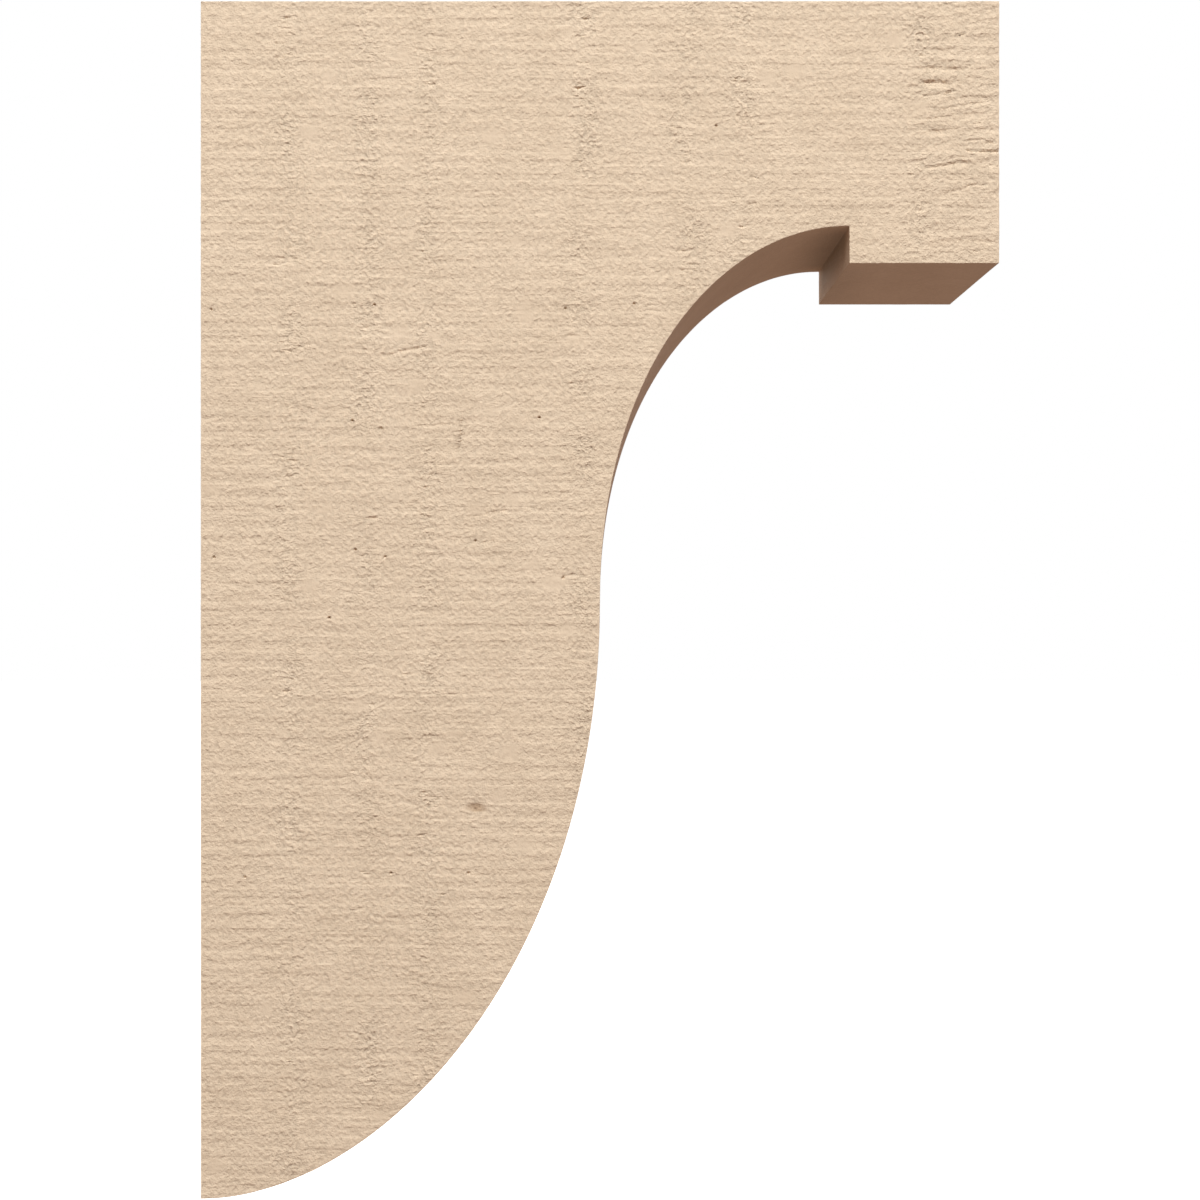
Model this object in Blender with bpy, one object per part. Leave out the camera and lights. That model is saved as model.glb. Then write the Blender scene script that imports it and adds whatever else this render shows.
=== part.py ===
"""A corbel: one moulded block that stands out from a wall and carries what lies on its top face.

Its side outline runs from the toe on the wall up a full belly to a waist, then up a hollow cove
to a small step, and ends in a square nose under the top face.
The origin is the middle of the back face, which bears on the wall. +X points out from the wall,
+Y runs along the wall and +Z is up. Sizes are in metres.
"""

from math import radians

import bmesh
import bpy
from mathutils import Vector
from mathutils.geometry import interpolate_bezier

INCH = 0.0254

# Driving dimensions
HEIGHT = 24 * INCH  # of the back face, down the wall
PROJECTION = 16 * INCH  # of the top face, out from the wall
WIDTH = 4 * INCH  # along the wall
NOSE_LENGTH = 3 * INCH  # of the nose's underside, from the step to the front
NOSE_DEPTH = 5.25 * INCH  # of the nose's front, down from the top face
STEP_RISE = 0.75 * INCH  # from the nose's underside up to the crown of the cove
WAIST_PROJECTION = 8 * INCH  # of the waist, where the cove turns into the belly
WAIST_DROP = 12 * INCH  # of the waist, down from the top face
EDGE_ROUND = 0.0004  # radius of the moulded edges

# How far each curve holds its end direction, as a share of its own run or rise.
# At 0.55 and 0.55 a curve is a quarter of an ellipse.
CROWN_HOLD = 0.525
COVE_WAIST_HOLD = 0.61
BELLY_WAIST_HOLD = 0.62
TOE_HOLD = 0.44

COVE_STEPS = 28
BELLY_STEPS = 36
EDGE_STEPS = 2
SHARP_ANGLE = radians(30)

PAINT_COLOUR = (0.7, 0.545, 0.395, 1.0)
PAINT_ROUGHNESS = 0.9


def clear_scene():
    for obj in list(bpy.data.objects):
        bpy.data.objects.remove(obj)


def curve_between(start, start_handle, end_handle, end, steps):
    """Points along a Bezier curve, without its last one, which begins the next stretch."""
    return interpolate_bezier(start, start_handle, end_handle, end, steps + 1)[:-1]


def side_outline():
    """Corners and curve points of the side face as (x, z), anticlockwise seen from -Y."""
    top = HEIGHT / 2
    nose_bottom = top - NOSE_DEPTH
    step_x = PROJECTION - NOSE_LENGTH
    toe = Vector((0, top - HEIGHT))
    waist = Vector((WAIST_PROJECTION, top - WAIST_DROP))
    crown = Vector((step_x, nose_bottom + STEP_RISE))

    belly = curve_between(
        toe,
        toe + Vector((TOE_HOLD * (waist.x - toe.x), 0)),
        waist - Vector((0, BELLY_WAIST_HOLD * (waist.y - toe.y))),
        waist,
        BELLY_STEPS,
    )
    cove = curve_between(
        waist,
        waist + Vector((0, COVE_WAIST_HOLD * (crown.y - waist.y))),
        crown - Vector((CROWN_HOLD * (crown.x - waist.x), 0)),
        crown,
        COVE_STEPS,
    )
    square_end = [
        crown,
        Vector((step_x, nose_bottom)),
        Vector((PROJECTION, nose_bottom)),
        Vector((PROJECTION, top)),
        Vector((0, top)),
    ]
    return belly + cove + square_end


def paint():
    """Matt tan primer on moulded polyurethane."""
    material = bpy.data.materials.new("tan_primer")
    material.use_nodes = True
    shader = material.node_tree.nodes["Principled BSDF"]
    shader.inputs["Base Color"].default_value = PAINT_COLOUR
    shader.inputs["Roughness"].default_value = PAINT_ROUGHNESS
    shader.inputs["Metallic"].default_value = 0.0
    return material


def corbel():
    """The side outline, extruded along the wall, with its edges rounded."""
    solid = bmesh.new()
    near_side = solid.faces.new(
        [solid.verts.new((p.x, -WIDTH / 2, p.y)) for p in side_outline()]
    )
    extruded = bmesh.ops.extrude_face_region(solid, geom=[near_side])["geom"]
    far_corners = [item for item in extruded if isinstance(item, bmesh.types.BMVert)]
    bmesh.ops.translate(solid, verts=far_corners, vec=(0, WIDTH, 0))
    bmesh.ops.recalc_face_normals(solid, faces=solid.faces)

    mesh = bpy.data.meshes.new("corbel")
    solid.to_mesh(mesh)
    solid.free()
    mesh.materials.append(paint())
    mesh.shade_smooth()
    mesh.set_sharp_from_angle(angle=SHARP_ANGLE)

    obj = bpy.data.objects.new("corbel", mesh)
    bpy.context.scene.collection.objects.link(obj)
    rounding = obj.modifiers.new("edge_round", "BEVEL")
    rounding.width = EDGE_ROUND
    rounding.segments = EDGE_STEPS
    rounding.limit_method = "ANGLE"
    rounding.angle_limit = SHARP_ANGLE
    return obj


clear_scene()
corbel()
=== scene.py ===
"""The finish of a moulded corbel: rough-sawn sides with torn grain, plain profile faces, matt primer.

The relief is real mesh on the CAD solid's own outline, cut inwards from its surface. Lengths are
in metres. A place on a side face is (x, z), or x and a drop below the top face: x runs out from
the wall and z up.
"""

from math import cos, pi, radians, sin

import bpy
import numpy as np
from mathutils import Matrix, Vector, kdtree
from mathutils.geometry import delaunay_2d_cdt


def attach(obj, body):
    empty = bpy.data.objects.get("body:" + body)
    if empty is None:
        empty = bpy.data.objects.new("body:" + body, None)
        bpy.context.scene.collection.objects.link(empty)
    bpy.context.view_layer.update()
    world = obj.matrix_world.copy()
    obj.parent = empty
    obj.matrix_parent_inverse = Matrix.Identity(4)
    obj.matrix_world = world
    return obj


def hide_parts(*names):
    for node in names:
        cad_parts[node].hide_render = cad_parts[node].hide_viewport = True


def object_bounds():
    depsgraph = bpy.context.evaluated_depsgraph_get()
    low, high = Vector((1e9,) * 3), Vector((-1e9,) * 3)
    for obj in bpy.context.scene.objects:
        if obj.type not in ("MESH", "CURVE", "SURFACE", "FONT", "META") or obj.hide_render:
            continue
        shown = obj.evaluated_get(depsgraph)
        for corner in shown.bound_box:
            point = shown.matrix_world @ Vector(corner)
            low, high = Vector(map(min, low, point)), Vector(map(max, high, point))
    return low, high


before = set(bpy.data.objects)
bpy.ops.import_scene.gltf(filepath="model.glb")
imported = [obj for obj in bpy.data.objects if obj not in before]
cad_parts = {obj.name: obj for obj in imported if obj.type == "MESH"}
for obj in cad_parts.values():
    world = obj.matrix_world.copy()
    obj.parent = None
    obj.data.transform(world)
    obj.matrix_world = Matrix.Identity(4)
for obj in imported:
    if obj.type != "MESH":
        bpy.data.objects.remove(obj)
cad_low, cad_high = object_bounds()

MM = 0.001
TOUCH = 1e-6  # places closer than this are the same

# Mesh spacing
NEAR_GRID = (3.3 * MM, 0.8 * MM)  # along x and z, on the side that the camera faces
FAR_GRID = (4.4 * MM, 1.4 * MM)
OUTLINE_GRID = (3.0 * MM, 1.3 * MM)
STRIP_ROWS = 7  # across the profile faces
ARRIS = 0.2 * MM  # radius of the edges
ARRIS_STEPS = 2
SUPPORT = 0.6 * MM  # how far inside an arris its neighbouring rows of mesh stand
CORNER_STEPS = 4
CORNER_LEG = 2.0  # of the profile's own corners, in arris radii
CORNER_ANGLE = radians(30)

# Saw marks: low flat ridges along x, in columns that start at these distances from the wall
SAW_COLUMNS = (0.0, 48 * MM, 112 * MM, 195 * MM, 275 * MM)
SAW_SPACING = (8.0 * MM, 9.95 * MM)  # in every other column
SAW_JITTER = 0.2  # of a spacing
SAW_LAND = 0.5  # share of the way to the next ridge that a ridge is wide
SAW_EDGES = (0.45 * MM, 0.7 * MM)  # how far its upper and its lower edge slope
SAW_STRAY = 0.25 * MM  # from a straight line
STRAY_CELL = (90 * MM, 50 * MM)  # along x and z
SAW_HEIGHT = 0.178 * MM

# Rows of mesh along the saw marks, as shares of the way from one mark to the next
NEAR_ROWS = (-0.085, -0.028, 0.028, 0.085, 0.28, 0.4, 0.46, 0.54, 0.6, 0.78)
FAR_ROWS = (-0.07, 0.07, 0.25, 0.43, 0.57, 0.75)

# Relief between the saw marks: the cell along x, along z and the height of each layer
STREAKS = (60 * MM, 2.8 * MM, 0.05 * MM)
WAVES = (4.4 * MM, 2.9 * MM, 0.088 * MM)
CHATTER = (11 * MM, 6 * MM, 0.095 * MM)
SWELL = (42 * MM, 20 * MM, 0.18 * MM)
NOSE_WAVES = (26 * MM, 3.4 * MM, 0.3 * MM)
WARP = (45 * MM, 30 * MM, 5.0 * MM)
NOSE_START = 350 * MM  # from the wall, where the bold waves of the nose begin
NOSE_BLEND = 20 * MM
NOSE_SLOPE = 0.16  # by which its waves rise away from the wall, under a level stretch at the top
NOSE_LEVEL = (25 * MM, 60 * MM)  # drop where the slope begins and where it is full
SIDE_DEPTH = 0.58 * MM  # mean depth of the sawn surface below the CAD face

# Spots where the relief is filled smooth
SPOTS = 80
SPOT_RADIUS = (3 * MM, 6 * MM)
FILLING = 0.7

# Torn grain
TORN_BANDS = (46 * MM, 86 * MM, 116 * MM, 194 * MM, 248 * MM, 276 * MM, 366 * MM)  # from the wall
BAND_WIDTH = 6 * MM
BAND_WANDER = 6 * MM
TORN_GRAIN = (4.5 * MM, 2.6 * MM, 0.4 * MM)

# Section of a tear: places across it in widths, upwards, and the depth there as a share
TEAR_ACROSS = (-1.0, -0.4, 0.1, 0.5, 0.8)
TEAR_DEPTH = (0.0, 0.5, 1.0, 0.0, 0.0)

# Section of a pit: distances from its middle in radii, and how many mesh points stand there
PIT_RINGS = ((0.5, 6), (1.0, 8), (1.5, 10), (1.9, 10))

# Strip relief, across the profile faces
STRIP_MARKS = 7 * MM  # cell of the finer marks along the profile
STRIP_DEPTH = 0.1 * MM
STRIP_FADE = 4 * MM  # over which it fades towards the arrises
STRIP_FINE = 0.4  # share of the sides' fine relief
SIDE_FADE = 12 * MM  # from a side face, over which the rows of mesh follow its relief

# Finish, with shade painted into the colour of the hollows, the inner corner, the pits and the knot
FINE_HEIGHT = 1.25 * MM  # of the relief that is too small for the mesh
FIBRE_SIZE = (45 * MM, 24 * MM, 2.3 * MM)
FIBRE_SLANT = radians(0.5)  # they rise away from the wall
FIBRE_SHARE = 0.22  # of the stipple's height
PAINTED_HOLLOW_SHADE = 0.48  # painted shade: how much darker the colour is in the hollows than on the grains, for all of that height
CORNER_PAINTED_SHADE = (0.55, 0.59, 0.61)  # painted shade in the inner corner, as a share of the primer's colour
CORNER_REACH = (14 * MM, 17 * MM)  # of the painted corner shade, along x and z
CORNER_SHARE = 0.6  # of the painted corner shade that the cove has beside the step
SHELTER_EDGE = 0.1  # share of the painted corner shade close to the side faces
SHELTER_REACH = 22 * MM  # from a side face, where the painted corner shade is full
PIT_PAINTED_SHADE = (0.72, 0.65, 0.59)  # painted shade in the pits and the knot, as a share of the primer's colour

# Landmarks of the near side: x and drop of both ends, width and depth, all in millimetres
NOSE_TEARS = (
    (384.0, 17.4, 390.2, 16.1, 1.3, 1.8),
    (390.0, 33.0, 392.6, 33.2, 1.3, 1.7),
    (402.5, 32.9, 404.4, 32.7, 1.3, 1.4),
    (365.3, 33.2, 389.7, 35.4, 3.0, 0.8),
    (366.8, 41.5, 381.6, 41.8, 2.8, 0.9),
    (378.0, 48.9, 382.6, 44.6, 1.2, 0.9),
    (385.2, 42.3, 392.3, 37.8, 1.1, 0.5),
    (379.0, 49.4, 399.5, 48.7, 2.2, 0.5),
    (368.9, 56.8, 398.9, 50.9, 1.6, 0.6),
    (368.3, 60.1, 395.9, 57.0, 1.6, 0.5),
    (367.9, 66.7, 382.1, 65.7, 3.0, 0.6),
    (386.7, 71.7, 398.4, 69.8, 1.3, 0.8),
    (398.9, 71.6, 405.0, 72.1, 1.6, 1.3),
    (389.2, 76.0, 408.0, 76.1, 1.3, 1.9),
    (365.3, 85.1, 392.3, 81.5, 1.7, 1.0),
)
FACE_TEARS = (
    (120.8, 456.0, 124.9, 453.6, 1.5, 1.2),
    (113.7, 409.2, 126.0, 409.2, 1.3, 0.5),
    (138.0, 444.5, 150.0, 445.6, 1.6, 0.5),
    (194.0, 7.0, 196.0, 10.5, 1.4, 1.0),
    (189.0, 44.5, 196.5, 43.6, 1.4, 0.8),
    (45.5, 178.0, 58.0, 173.5, 1.5, 0.5),
    (92.0, 180.6, 114.5, 175.3, 1.8, 0.7),
    (108.5, 216.2, 132.5, 215.0, 1.4, 0.6),
    (133.4, 212.0, 131.2, 230.5, 1.1, 0.8),
    (134.5, 263.0, 157.0, 259.0, 1.8, 0.6),
    (111.0, 309.5, 115.8, 312.0, 1.2, 0.8),
    (102.0, 342.8, 114.0, 341.5, 1.4, 0.6),
)
KNOT = (140.2, 410.6, 4.6, 2.3, 1.0)  # x, drop, half width, half height and depth
PIT_SIZE = (0.65 * MM, 1.3 * MM)  # radius and depth, in metres
PITS = (
    (262.4, 63.2),
    (220.6, 153.8),
    (185.6, 156.2),
    (172.3, 211.9),
    (88.3, 154.3),
    (77.0, 213.4),
    (91.9, 217.3),
    (78.6, 279.1),
    (93.8, 282.7),
    (139.7, 274.5),
    (184.5, 293.4),
    (6.6, 283.0),
    (5.2, 156.8),
    (65.3, 313.8),
    (136.1, 443.7),
    (22.4, 445.8),
    (96.8, 443.8),
)


def smooth(t):
    """Eases t from 0 to 1, with no slope at either end."""
    return t * t * t * (t * (6 * t - 15) + 10)


class Noise:
    """Smooth seeded noise over a plane, from about -1 to 1, on cells of one unit."""

    SIZE = 512

    def __init__(self, seed):
        turn = np.random.default_rng(seed).uniform(0, 2 * pi, (self.SIZE, self.SIZE))
        self.slopes = np.stack([np.cos(turn), np.sin(turn)], axis=-1)

    def __call__(self, u, v):
        column = np.floor(u).astype(int)
        row = np.floor(v).astype(int)
        across = u - column
        up = v - row

        def corner(right, above):
            slope = self.slopes[(column + right) % self.SIZE, (row + above) % self.SIZE]
            return slope[..., 0] * (across - right) + slope[..., 1] * (up - above)

        ease = smooth(across)
        low = corner(0, 0) + ease * (corner(1, 0) - corner(0, 0))
        high = corner(0, 1) + ease * (corner(1, 1) - corner(0, 1))
        return 1.5 * (low + smooth(up) * (high - low))


def face_outline(solid):
    """The outline of the solid's near side face, anticlockwise, as rows of (x, z)."""
    places = [tuple(round(c, 6) for c in v.co) for v in solid.data.vertices]
    steps = set()
    for face in solid.data.polygons:
        corners = [places[i] for i in face.vertices]
        if all(abs(y - cad_low.y) < TOUCH for _, y, _ in corners):
            steps.update(zip(corners, corners[1:] + corners[:1]))
    following = {a: b for a, b in steps if (b, a) not in steps}
    outline = [min(following)]
    while following[outline[-1]] != outline[0]:
        outline.append(following[outline[-1]])
    return np.array(outline)[:, [0, 2]]


def normals_of(outline):
    """Outward normals at the points of a closed anticlockwise outline, long enough to mitre it."""
    step = np.roll(outline, -1, axis=0) - outline
    step /= np.linalg.norm(step, axis=1, keepdims=True)
    ahead = np.stack([step[:, 1], -step[:, 0]], axis=1)
    behind = np.roll(ahead, 1, axis=0)
    return (ahead + behind) / (1 + (ahead * behind).sum(axis=1, keepdims=True))


def turns_of(outline):
    """The angle that a closed outline turns through at each point."""
    ahead = np.roll(outline, -1, axis=0) - outline
    behind = outline - np.roll(outline, 1, axis=0)
    crossed = behind[:, 0] * ahead[:, 1] - behind[:, 1] * ahead[:, 0]
    return np.arctan2(crossed, (behind * ahead).sum(axis=1))


def between(a, b):
    """How many mesh steps a stretch of the outline from a to b takes."""
    reach = np.abs(b - a) / OUTLINE_GRID
    return max(1, int(np.ceil(reach.sum())))


def smooth_stretch(points):
    """A smooth curve through the points, at the outline's mesh spacing, without its last point."""
    padded = np.vstack([2 * points[0] - points[1], points, 2 * points[-1] - points[-2]])
    curve = []
    for before, start, end, after in zip(padded, padded[1:], padded[2:], padded[3:]):
        for t in np.arange(between(start, end)) / between(start, end):
            curve.append(
                start
                + 0.5 * t * (end - before)
                + t * t * (before - 2.5 * start + 2 * end - 0.5 * after)
                + 0.5 * t**3 * (after - before + 3 * (start - end))
            )
    return curve


def towards(start, end, distance):
    """The point at a distance from start on the way to end."""
    return start + (end - start) * distance / np.linalg.norm(end - start)


def profile_outline(corners):
    """The profile as a fine outline, with small rounds at its corners."""
    leg = CORNER_LEG * ARRIS
    sharp = np.flatnonzero(np.abs(turns_of(corners)) > CORNER_ANGLE)
    outline = []
    for first, last in zip(sharp, np.roll(sharp, -1)):
        count = (last - first) % len(corners)
        stretch = corners[(first + np.arange(count + 1)) % len(corners)]
        stretch[0] = towards(stretch[0], stretch[1], leg)
        stretch[-1] = towards(stretch[-1], stretch[-2], leg)
        outline += smooth_stretch(stretch)

        corner = corners[last]
        onwards = towards(corner, corners[(last + 1) % len(corners)], leg)
        for t in np.arange(CORNER_STEPS) / CORNER_STEPS:
            outline.append((1 - t) ** 2 * stretch[-1] + 2 * t * (1 - t) * corner + t * t * onwards)
    return np.clip(outline, (cad_low.x, cad_low.z), (cad_high.x, cad_high.z))


def tear_from(row):
    """A tear as its start, its end, its width and its depth, from a row in millimetres."""
    x_start, drop_start, x_end, drop_end, width, depth = (MM * value for value in row)
    start = np.array((x_start, cad_high.z - drop_start))
    end = np.array((x_end, cad_high.z - drop_end))
    return start, end, width, depth


def tear_at(random, x, z, length, slant, width, depth):
    """A random tear that starts near (x, z). The rest are ranges; the slant is a mean and a spread."""
    run = random.uniform(*length) * MM
    turn = radians(np.clip(random.normal(*slant), -60, 60))
    start = np.array((x, z))
    end = start + run * np.array((cos(turn), sin(turn)))
    return start, end, random.uniform(*width) * MM, random.uniform(*depth) * MM


def loose_tears(seed, clusters, single, on_nose):
    """Clusters of short ragged tears along the torn bands, and longer ones over the side and nose."""
    random = np.random.default_rng(seed)
    tears = []
    for band in TORN_BANDS:
        for middle in random.uniform(cad_low.z, cad_high.z, clusters):
            for _ in range(random.integers(4, 10)):
                x = band + random.normal(-5, 3.5) * MM
                z = middle + random.normal(0, 7) * MM
                tears.append(tear_at(random, x, z, (1.5, 7), (2, 14), (0.8, 1.3), (0.3, 0.8)))
    for _ in range(single):
        x = random.uniform(cad_low.x, cad_high.x)
        z = random.uniform(cad_low.z, cad_high.z)
        tears.append(tear_at(random, x, z, (3, 13), (3, 6), (0.8, 1.4), (0.12, 0.4)))
    for _ in range(on_nose):
        x = random.uniform(NOSE_START, cad_high.x - 10 * MM)
        z = random.uniform(cad_high.z - 130 * MM, cad_high.z)
        tears.append(tear_at(random, x, z, (5, 22), (6, 5), (1.0, 1.8), (0.25, 0.55)))
    return tears


def loose_pits(seed, count):
    """Small pits scattered over the whole side."""
    random = np.random.default_rng(seed)
    x = random.uniform(cad_low.x, cad_high.x, count)
    z = random.uniform(cad_low.z, cad_high.z, count)
    radius = random.uniform(0.4, 0.6, count) * MM
    return [(np.array(place), size, 1.6 * size) for place, size in zip(zip(x, z), radius)]


class SawnSide:
    """The relief of one side face, as a depth below the CAD surface at any place on it."""

    def __init__(self, seed, tears, pits, knot=None):
        self.noise = {
            name: Noise(seed + i)
            for i, name in enumerate(
                ("line", "streak", "wave", "chatter", "swell", "nose", "warp", "band", "grain", "spot")
            )
        }
        random = np.random.default_rng(seed)
        self.marks = []
        for spacing in SAW_SPACING:
            count = int(1.5 * (cad_high.z - cad_low.z) / spacing)
            gaps = spacing * random.uniform(1 - SAW_JITTER, 1 + SAW_JITTER, count)
            self.marks.append(np.cumsum(gaps) - 3 * spacing)
        self.spots = random.uniform(
            (cad_low.x, cad_low.z, SPOT_RADIUS[0]), (cad_high.x, cad_high.z, SPOT_RADIUS[1]), (SPOTS, 3)
        )
        self.tears = tears
        self.pits = pits
        self.knot = knot

    def layer(self, name, size, x, z):
        """One layer of relief, from its noise and its cell along x, along z and height."""
        return size[2] * self.noise[name](x / size[0], z / size[1])

    def torn(self, x, z):
        """How far the grain is torn: 0 on clean sawn wood and 1 in the middle of a band."""
        share = np.zeros_like(x)
        for i, band in enumerate(TORN_BANDS):
            middle = band + BAND_WANDER * self.noise["band"](z / (70 * MM), np.full_like(z, 9.5 * i))
            strength = 0.5 + 1.1 * self.noise["band"](z / (25 * MM), np.full_like(z, 9.5 * i + 4))
            share = np.maximum(share, strength * np.exp(-(((x - middle) / BAND_WIDTH) ** 2)))
        return np.clip(share, 0, 1)

    def filled(self, x, z):
        """How far the relief is filled smooth, in small spots."""
        uneven = 0.3 * self.noise["spot"](x / (4 * MM), z / (4 * MM))
        share = np.zeros_like(x)
        for spot_x, spot_z, radius in self.spots:
            away = np.hypot(x - spot_x, 1.3 * (z - spot_z)) / radius
            share = np.maximum(share, smooth(np.clip(1.4 - away + uneven, 0, 1)))
        return share

    def on_nose(self, x):
        """How far a place is on the nose, where the relief is bolder."""
        return smooth(np.clip((x - NOSE_START) / NOSE_BLEND, 0, 1))

    def nose_rise(self, x, z):
        """How far the waves have risen over the nose."""
        drop = cad_high.z - z
        share = np.clip((drop - NOSE_LEVEL[0]) / (NOSE_LEVEL[1] - NOSE_LEVEL[0]), 0, 1)
        return NOSE_SLOPE * np.maximum(x - NOSE_START, 0) * smooth(share)

    def fineness(self, x, z):
        """How strong the fine relief is, as a share."""
        return (1 - FILLING * self.filled(x, z)) * (0.9 + 0.6 * self.torn(x, z) + 0.1 * self.on_nose(x))

    def stray(self, x, z):
        """How far a saw mark strays up from a straight line."""
        return SAW_STRAY * self.noise["line"](x / STRAY_CELL[0], z / STRAY_CELL[1])

    def saw_marks(self, x, z):
        """Low flat ridges along x, which shift from column to column."""
        column = np.searchsorted(SAW_COLUMNS, x, side="right") - 1
        drop = cad_high.z - z + self.stray(x, z)
        ridges = np.zeros_like(x)
        for pattern, marks in enumerate(self.marks):
            here = np.flatnonzero(column % 2 == pattern)
            nearest = np.searchsorted(marks, drop[here]) - 1
            for line in (nearest, nearest + 1):
                below = drop[here] - marks[line]
                width = SAW_LAND * (marks[line + 1] - marks[line])
                upper_edge = smooth(np.clip(below / SAW_EDGES[0] + 0.5, 0, 1))
                lower_edge = smooth(np.clip((below - width) / SAW_EDGES[1] + 0.5, 0, 1))
                strength = 0.85 + 0.5 * self.noise["line"](x[here] / (70 * MM), line * 7.3 + 0.5)
                ridges[here] += np.clip(strength, 0, 1.3) * (upper_edge - lower_edge)
        return ridges

    def row_points(self, step, shares):
        """Mesh points along the saw marks, in rows at these shares of the way to the next mark."""
        points = []
        for column, (start, end) in enumerate(zip(SAW_COLUMNS, SAW_COLUMNS[1:] + (cad_high.x,))):
            marks = self.marks[column % 2]
            drops = marks[:-1, None] + np.diff(marks)[:, None] * shares
            for row, drop in enumerate(drops.ravel()):
                x = np.arange(start + step * (0.25 + 0.5 * (row % 2)), end, step)
                z = np.full_like(x, cad_high.z - drop)
                points.append(np.stack([x, z + self.stray(x, z)], axis=1))
        return np.vstack(points)

    def wander(self, number, run, width):
        """How far a tear strays across its line."""
        return 0.4 * width * self.noise["grain"](run / (2.2 * MM), np.full_like(run, number * 3.7))

    def cuts(self, x, z):
        """Depth of the tears, the pits and the knot."""
        depth = np.zeros_like(x)
        place = np.stack([x, z], axis=-1)
        for number, (start, end, width, tear_depth) in enumerate(self.tears):
            length = np.linalg.norm(end - start)
            along = (end - start) / length
            near = np.flatnonzero(
                np.abs(place - (start + end) / 2).max(axis=1) < length / 2 + 2 * width
            )
            offset = place[near] - start
            run = offset @ along
            across = offset @ np.array((-along[1], along[0])) - self.wander(number, run, width)
            section = np.interp(across / width, TEAR_ACROSS, TEAR_DEPTH)
            ends = np.clip(run / (1.5 * width), 0, 1) * np.clip((length - run) / (1.5 * width), 0, 1)
            worn = 0.85 + 0.4 * self.noise["grain"](run / (4 * MM), np.full_like(run, number * 5.1 + 80))
            depth[near] += tear_depth * smooth(ends) * worn * section
        for (middle_x, middle_z), radius, pit_depth in self.pits:
            away = np.hypot(x - middle_x, z - middle_z) / radius
            depth += pit_depth * smooth(np.clip(1.5 - away, 0, 1))
        return depth + self.knotted(x, z)

    def knotted(self, x, z):
        """Depth of the sunk knot."""
        if not self.knot:
            return np.zeros_like(x)
        middle, half_width, half_height, knot_depth = self.knot
        away = np.hypot((x - middle[0]) / half_width, (z - middle[1]) / half_height)
        away += 0.25 * self.noise["grain"](x / (3 * MM), z / (3 * MM))
        return knot_depth * smooth(np.clip(2 * (1.2 - away), 0, 1))

    def pit_shade_share(self, x, z):
        """How far shade is painted into the colour, in the pits and the knot."""
        share = self.knotted(x, z) / self.knot[3] if self.knot else np.zeros_like(x)
        for (middle_x, middle_z), radius, _ in self.pits:
            share = np.maximum(share, np.hypot(x - middle_x, z - middle_z) < 0.8 * radius)
        return share

    def depth(self, x, z):
        """Depth of the finished surface below the CAD face."""
        bent = z + self.layer("warp", WARP, x, z) - self.nose_rise(x, z)
        torn = self.torn(x, z)
        height = SAW_HEIGHT * self.saw_marks(x, z) * (1 - 0.5 * torn)
        height += self.layer("streak", STREAKS, x, z)
        height += (1 + torn) * self.layer("wave", WAVES, x, bent)
        height += (1 + torn) * self.layer("chatter", CHATTER, x, bent)
        height += self.on_nose(x) * self.layer("nose", NOSE_WAVES, x, bent)
        cracks = np.abs(self.noise["grain"](x / TORN_GRAIN[0], bent / TORN_GRAIN[1]))
        height -= TORN_GRAIN[2] * torn * np.clip(0.75 - 3 * cracks, 0, 1)
        height *= 1 - FILLING * self.filled(x, z)
        height += self.layer("swell", SWELL, x, z)
        return np.maximum(0, SIDE_DEPTH - height + self.cuts(x, z))

    def detail_points(self):
        """Places where the mesh is finer, so that the tears and pits are crisp."""
        points = []
        for number, (start, end, width, _) in enumerate(self.tears):
            length = np.linalg.norm(end - start)
            along = (end - start) / length
            side = np.array((-along[1], along[0]))
            run = np.linspace(0, length, max(3, int(length / (1.2 * MM))))
            line = start + run[:, None] * along + self.wander(number, run, width)[:, None] * side
            for across in TEAR_ACROSS:
                points.extend(line + across * width * side)
        for middle, radius, _ in self.pits:
            points.append(middle)
            for reach, count in PIT_RINGS:
                for turn in 2 * pi * np.arange(count) / count:
                    points.append(middle + reach * radius * np.array((cos(turn), sin(turn))))
        return np.array(points)


def is_inside(points, outline):
    """Which points lie inside a closed outline, by counting crossings to the right of each."""
    inside = np.zeros(len(points), bool)
    for (x1, z1), (x2, z2) in zip(outline, np.roll(outline, -1, axis=0)):
        if z1 != z2:
            spans = (points[:, 1] > z1) != (points[:, 1] > z2)
            crossing = x1 + (points[:, 1] - z1) * (x2 - x1) / (z2 - z1)
            inside ^= spans & (points[:, 0] < crossing)
    return inside


def clear_of(points, others, stretch, gap):
    """The points that are at least a gap from all of the others, in a stretched plane."""
    tree = kdtree.KDTree(len(others))
    for i, (x, z) in enumerate(others * stretch):
        tree.insert((x, z, 0), i)
    tree.balance()
    apart = [tree.find((x, z, 0))[2] > gap for x, z in points * stretch]
    return points[np.array(apart)]


def face_points(outline, grid, details, rows):
    """Mesh points inside an outline: a support row along it, then the details and the rows."""
    stretch = np.array((grid[1] / grid[0], 1.0))
    support = outline - SUPPORT * normals_of(outline)
    details = details[is_inside(details, support)]
    details = clear_of(details, support, stretch, 0.35 * grid[1])
    rows = rows[is_inside(rows, support)]
    rows = clear_of(rows, np.vstack([support, details]), stretch, 0.6 * grid[1])
    return np.vstack([support, details, rows])


def fill_face(outline, points, grid):
    """Triangles that fill an outline through the points. The outline's points come first."""
    stretch = np.array((grid[1] / grid[0], 1.0)) / MM
    corners = [Vector(p) for p in np.vstack([outline, points]) * stretch]
    count = len(outline)
    edges = [(i, (i + 1) % count) for i in range(count)]
    _, _, faces, sources, _, _ = delaunay_2d_cdt(corners, edges, [], 1, 1e-6)
    return np.array([[sources[corner][0] for corner in face] for face in faces])


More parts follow.
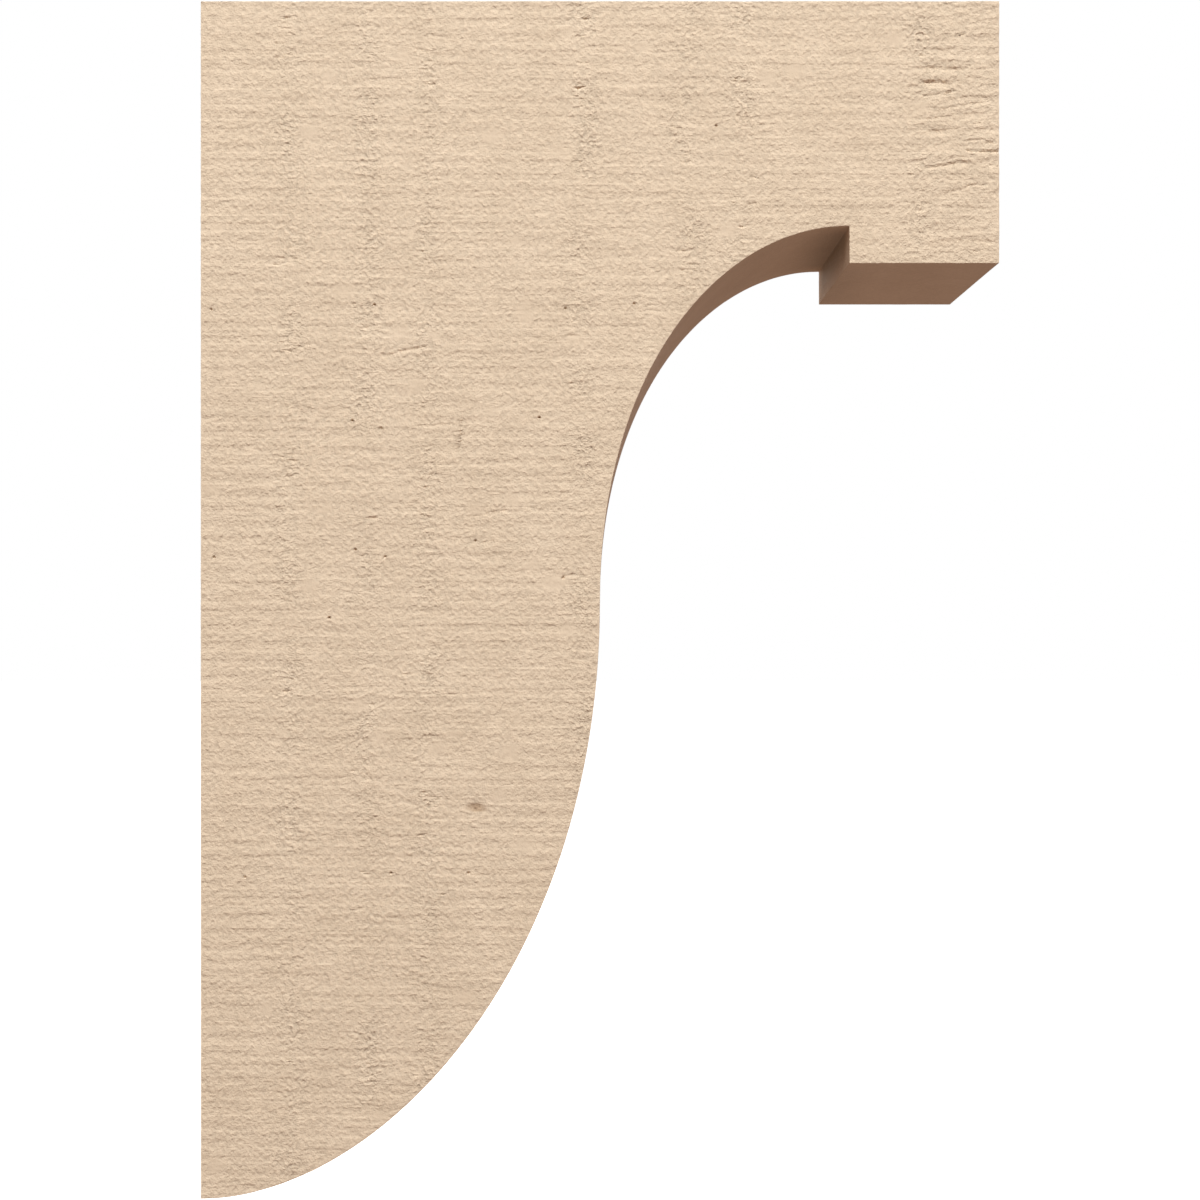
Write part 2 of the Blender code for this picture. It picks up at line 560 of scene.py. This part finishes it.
def strip_relief(profile, y):
    """Depth of the faint marks across the profile faces, nothing at the arrises."""
    length = np.cumsum(np.linalg.norm(np.diff(profile, axis=0, prepend=profile[:1]), axis=1))
    marks = Noise(71)(length[None] / STRIP_MARKS, y[:, None] / (60 * MM))
    marks += 0.5 * Noise(72)(length[None] / (2.5 * STRIP_MARKS), y[:, None] / (30 * MM))
    fade = np.clip((cad_high.y - np.abs(y)) / STRIP_FADE - 0.2, 0, 1)
    return STRIP_DEPTH * np.clip(0.5 + 0.5 * marks, 0, 1) * smooth(fade)[:, None]


def painted_shade_of(share, painted_shade):
    """The painted shade, from plain white to its full darkening at each share, as rows of red, green and
    blue.
    """
    return 1 - share.reshape(-1, 1) * (1 - np.array(painted_shade))


def corbel_mesh(profile, inner_corner, near_side, far_side):
    """The closed surface: two sawn sides and the profile faces between their arrises."""
    normals = normals_of(profile)
    turn = np.linspace(0, pi / 2, ARRIS_STEPS + 1)
    inset = np.concatenate([ARRIS * (1 - np.sin(turn)), [0.0]])
    in_from_side = np.concatenate([ARRIS * (1 - np.cos(turn)), [ARRIS + SUPPORT]])
    middle = np.linspace(cad_low.y + in_from_side[-1], cad_high.y - in_from_side[-1], STRIP_ROWS)[1:-1]
    row_y = np.concatenate([cad_low.y + in_from_side, middle, cad_high.y - in_from_side[::-1]])
    row_inset = np.concatenate([inset, np.zeros(len(middle)), inset[::-1]])

    place = profile - ARRIS * normals
    near_depth = near_side.depth(*place.T)
    far_depth = far_side.depth(*place.T)
    fade = np.clip(1 - (row_y - cad_low.y) / SIDE_FADE, 0, 1)[:, None]
    depth = row_inset[:, None] + strip_relief(profile, row_y)
    rows = np.empty((len(row_y), len(profile), 3))
    rows[..., 0] = profile[:, 0] - depth * normals[:, 0]
    rows[..., 2] = profile[:, 1] - depth * normals[:, 1]
    rows[..., 1] = row_y[:, None] + fade * near_depth - fade[::-1] * far_depth

    count = len(profile)
    start = np.arange(len(row_y) - 1)[:, None] * count
    here = np.arange(count)
    ahead = (here + 1) % count
    quads = np.stack([start + here, start + count + here, start + count + ahead, start + ahead], axis=-1)
    faces = quads.reshape(-1, 4).tolist()
    vertices = [rows.reshape(-1, 3)]
    fineness = [np.full(len(row_y) * count, STRIP_FINE)]
    # Painted shade in the inner corner: the colour is darkened there, fading along the profile and
    # towards the side faces
    offset = np.abs(profile - inner_corner) / CORNER_REACH
    corner_shade_share = np.exp(-(offset[:, 0] ** 2) - offset[:, 1] ** 3)
    corner_shade_share[profile[:, 0] < inner_corner[0] - ARRIS] *= CORNER_SHARE
    from_side = cad_high.y - ARRIS - np.abs(row_y)
    shelter = smooth(np.clip(from_side / SHELTER_REACH, 0, 1))
    shelter = SHELTER_EDGE + (1 - SHELTER_EDGE) * shelter
    shelter *= np.clip(from_side / SUPPORT, 0, 1)
    painted_shade = [painted_shade_of(np.outer(shelter, corner_shade_share), CORNER_PAINTED_SHADE)]
    total = len(row_y) * count

    for side, grid, mark_rows, first_row, y, inwards in (
        (near_side, NEAR_GRID, NEAR_ROWS, 0, cad_low.y, 1),
        (far_side, FAR_GRID, FAR_ROWS, (len(row_y) - 1) * count, cad_high.y, -1),
    ):
        points = face_points(place, grid, side.detail_points(), side.row_points(grid[0], mark_rows))
        triangles = fill_face(place, points, grid)
        triangles = np.where(triangles < count, triangles + first_row, triangles - count + total)
        faces += triangles[:, ::inwards].tolist()
        surface = np.empty((len(points), 3))
        surface[:, 0] = points[:, 0]
        surface[:, 2] = points[:, 1]
        surface[:, 1] = y + inwards * side.depth(*points.T)
        vertices.append(surface)
        fineness.append(side.fineness(*points.T))
        # Painted shade in the pits and the knot
        painted_shade.append(painted_shade_of(side.pit_shade_share(*points.T), PIT_PAINTED_SHADE))
        total += len(points)

    mesh = bpy.data.meshes.new("corbel_relief")
    mesh.from_pydata(np.vstack(vertices).tolist(), [], faces)
    mesh.shade_smooth()
    fineness = np.concatenate(fineness)
    mesh.attributes.new("fineness", "FLOAT", "POINT").data.foreach_set("value", fineness)
    painted_shade = np.vstack(painted_shade).ravel()
    mesh.attributes.new("painted_shade", "FLOAT_VECTOR", "POINT").data.foreach_set("vector", painted_shade)
    return mesh


def add_node(tree, kind, settings=None, **inputs):
    """A shader node with its settings and the values of its named inputs."""
    node = tree.nodes.new(kind)
    for name, value in (settings or {}).items():
        setattr(node, name, value)
    for name, value in inputs.items():
        node.inputs[name.replace("_", " ")].default_value = value
    return node


def combine(tree, operation, first, second):
    """The sum, difference or product of two values, each of them a number or a node's output."""
    node = add_node(tree, "ShaderNodeMath", {"operation": operation})
    for socket, value in zip(node.inputs, (first, second)):
        if isinstance(value, (int, float)):
            socket.default_value = value
        else:
            tree.links.new(value, socket)
    return node.outputs["Value"]


def primer():
    """Matt tan primer over the sawn surface: fine stipple, soft mottling, shade painted into its colour
    and a dry roughness.
    """
    material = bpy.data.materials.new("tan_primer")
    material.use_nodes = True
    tree = material.node_tree
    link = tree.links.new
    shader = tree.nodes["Principled BSDF"]
    shader.inputs["Specular IOR Level"].default_value = 0.3

    place = add_node(tree, "ShaderNodeTexCoord")
    stipple = add_node(tree, "ShaderNodeTexNoise", Scale=505.0, Detail=2.0, Roughness=0.55)
    link(place.outputs["Object"], stipple.inputs["Vector"])
    along = add_node(tree, "ShaderNodeMapping", {"vector_type": "TEXTURE"}, Scale=FIBRE_SIZE)
    along.inputs["Rotation"].default_value = (0, -FIBRE_SLANT, 0)
    link(place.outputs["Object"], along.inputs["Vector"])
    fibres = add_node(tree, "ShaderNodeTexNoise", Scale=1.0, Detail=1.0, Roughness=0.5, Distortion=0.2)
    link(along.outputs["Vector"], fibres.inputs["Vector"])

    fineness = add_node(tree, "ShaderNodeAttribute", {"attribute_name": "fineness"})
    relief = combine(tree, "MULTIPLY", fibres.outputs["Fac"], FIBRE_SHARE)
    relief = combine(tree, "ADD", relief, stipple.outputs["Fac"])
    relief = combine(tree, "SUBTRACT", relief, 0.5 + 0.5 * FIBRE_SHARE)
    relief = combine(tree, "MULTIPLY", relief, fineness.outputs["Fac"])
    bump = add_node(tree, "ShaderNodeBump", Distance=FINE_HEIGHT)
    link(relief, bump.inputs["Height"])
    link(bump.outputs["Normal"], shader.inputs["Normal"])

    mottle = add_node(tree, "ShaderNodeTexNoise", Scale=38.0, Detail=4.0, Roughness=0.6)
    link(place.outputs["Object"], mottle.inputs["Vector"])
    colour = add_node(tree, "ShaderNodeValToRGB")
    colour.color_ramp.elements[0].position = 0.3
    colour.color_ramp.elements[0].color = (0.675, 0.522, 0.375, 1.0)
    colour.color_ramp.elements[1].position = 0.7
    colour.color_ramp.elements[1].color = (0.725, 0.568, 0.415, 1.0)
    link(mottle.outputs["Fac"], colour.inputs["Fac"])

    # Painted shade from the mesh: the colour is darkened in the inner corner, the pits and the knot
    painted_shade = add_node(tree, "ShaderNodeAttribute", {"attribute_name": "painted_shade"})
    shade_painted_colour = add_node(tree, "ShaderNodeVectorMath", {"operation": "MULTIPLY"})
    link(colour.outputs["Color"], shade_painted_colour.inputs[0])
    link(painted_shade.outputs["Vector"], shade_painted_colour.inputs[1])
    # Painted shade in the fine relief: the colour is darker in its hollows and lighter on its grains
    shade = combine(tree, "ADD", combine(tree, "MULTIPLY", relief, PAINTED_HOLLOW_SHADE), 1.0)
    shaded = add_node(tree, "ShaderNodeVectorMath", {"operation": "SCALE"})
    link(shade_painted_colour.outputs["Vector"], shaded.inputs[0])
    link(shade, shaded.inputs["Scale"])
    link(shaded.outputs["Vector"], shader.inputs["Base Color"])

    dryness = add_node(tree, "ShaderNodeMapRange", To_Min=0.8, To_Max=0.95)
    link(mottle.outputs["Fac"], dryness.inputs["Value"])
    link(dryness.outputs["Result"], shader.inputs["Roughness"])
    return material


def corbel():
    """The whole corbel as one piece, in place of its CAD solid."""
    face = face_outline(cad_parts["corbel"])
    corners = face + (face[:, 0].min() - cad_low.x) * normals_of(face)
    inner_corner = corners[np.argmin(turns_of(corners))]
    profile = profile_outline(corners)
    near_side = SawnSide(
        11,
        [tear_from(row) for row in NOSE_TEARS + FACE_TEARS] + loose_tears(21, 9, 60, 16),
        [(np.array((x * MM, cad_high.z - drop * MM)), *PIT_SIZE) for x, drop in PITS],
        (
            np.array((KNOT[0] * MM, cad_high.z - KNOT[1] * MM)),
            KNOT[2] * MM,
            KNOT[3] * MM,
            KNOT[4] * MM,
        ),
    )
    far_side = SawnSide(41, loose_tears(51, 3, 40, 8), loose_pits(61, 24))
    mesh = corbel_mesh(profile, inner_corner, near_side, far_side)
    mesh.materials.append(primer())
    piece = bpy.data.objects.new("corbel_relief", mesh)
    bpy.context.scene.collection.objects.link(piece)
    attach(piece, "root")
    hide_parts("corbel")
    return piece


# Camera: level, square to the near side, at the middle of the corbel
FOCAL_LENGTH = 42.16  # millimetres, on a 36 mm sensor
CAMERA_DISTANCE = 0.7147  # from the near side


def camera(middle):
    """The camera of the photo's view, at the height of the middle."""
    data = bpy.data.cameras.new("camera")
    data.sensor_width = 36
    data.lens = FOCAL_LENGTH
    data.clip_start = 0.05
    data.clip_end = 50
    view = bpy.data.objects.new("camera", data)
    view.location = (middle.x, cad_low.y - CAMERA_DISTANCE, middle.z)
    view.rotation_euler = (pi / 2, 0, 0)
    bpy.context.scene.collection.objects.link(view)
    bpy.context.scene.camera = view


def softbox(name, place, target, size, power, colour):
    """A square area light at a place, turned to a target."""
    data = bpy.data.lights.new(name, "AREA")
    data.size = size
    data.energy = power
    data.color = colour
    light = bpy.data.objects.new(name, data)
    light.location = place
    light.rotation_euler = (target - Vector(place)).to_track_quat("-Z", "Y").to_euler()
    bpy.context.scene.collection.objects.link(light)


def studio(middle):
    """Soft light from the front and above, weaker ones from behind and the sides, a dim warm surround."""
    softbox("key", (middle.x, -3.6, 3.44), middle, 1.3, 283.0, (0.87, 0.962, 1.0))
    softbox("rear", (middle.x, 5.0, 1.6), middle, 2.5, 165.0, (1.0, 0.95, 0.89))
    softbox("above", (0.3, 4.4, 4.6), middle, 1.6, 100.0, (0.87, 0.967, 1.005))
    softbox("left", (-4.0, 0.2, 2.4), middle, 0.5, 60.0, (0.87, 0.967, 1.005))
    softbox("right", (4.0, 0.0, 4.0), middle, 1.6, 12.0, (1.0, 0.98, 0.95))

    world = bpy.data.worlds.new("surround")
    bpy.context.scene.world = world
    world.use_nodes = True
    tree = world.node_tree
    tree.nodes.clear()
    seen = add_node(tree, "ShaderNodeBackground", Color=(1.0, 1.0, 1.0, 1.0), Strength=1.0)
    lighting = add_node(tree, "ShaderNodeBackground", Color=(0.327, 0.239, 0.203, 1.0), Strength=1.0)
    path = add_node(tree, "ShaderNodeLightPath")
    mix = add_node(tree, "ShaderNodeMixShader")
    output = add_node(tree, "ShaderNodeOutputWorld")
    tree.links.new(path.outputs["Is Camera Ray"], mix.inputs["Fac"])
    tree.links.new(lighting.outputs["Background"], mix.inputs[1])
    tree.links.new(seen.outputs["Background"], mix.inputs[2])
    tree.links.new(mix.outputs["Shader"], output.inputs["Surface"])


FLOOR_REACH = 20.0  # from the origin to each edge
FLOOR_DROP = 0.9  # below the corbel


def floor():
    """A wide white floor, lit from within so that it has no horizon, well below the corbel."""
    mesh = bpy.data.meshes.new("floor")
    level = cad_low.z - FLOOR_DROP
    corners = [
        (FLOOR_REACH * x, FLOOR_REACH * y, level) for x, y in ((-1, -1), (1, -1), (1, 1), (-1, 1))
    ]
    mesh.from_pydata(corners, [], [(0, 1, 2, 3)])
    material = bpy.data.materials.new("white_floor")
    material.use_nodes = True
    shader = material.node_tree.nodes["Principled BSDF"]
    shader.inputs["Base Color"].default_value = (0.9, 0.9, 0.9, 1.0)
    shader.inputs["Emission Color"].default_value = (1.0, 1.0, 1.0, 1.0)
    shader.inputs["Emission Strength"].default_value = 1.0
    mesh.materials.append(material)
    obj = bpy.data.objects.new("floor", mesh)
    obj.visible_diffuse = False
    obj.visible_glossy = False
    bpy.context.scene.collection.objects.link(obj)


middle = (cad_low + cad_high) / 2
corbel()
camera(middle)
studio(middle)
floor()
bpy.context.scene.view_settings.view_transform = "Standard"
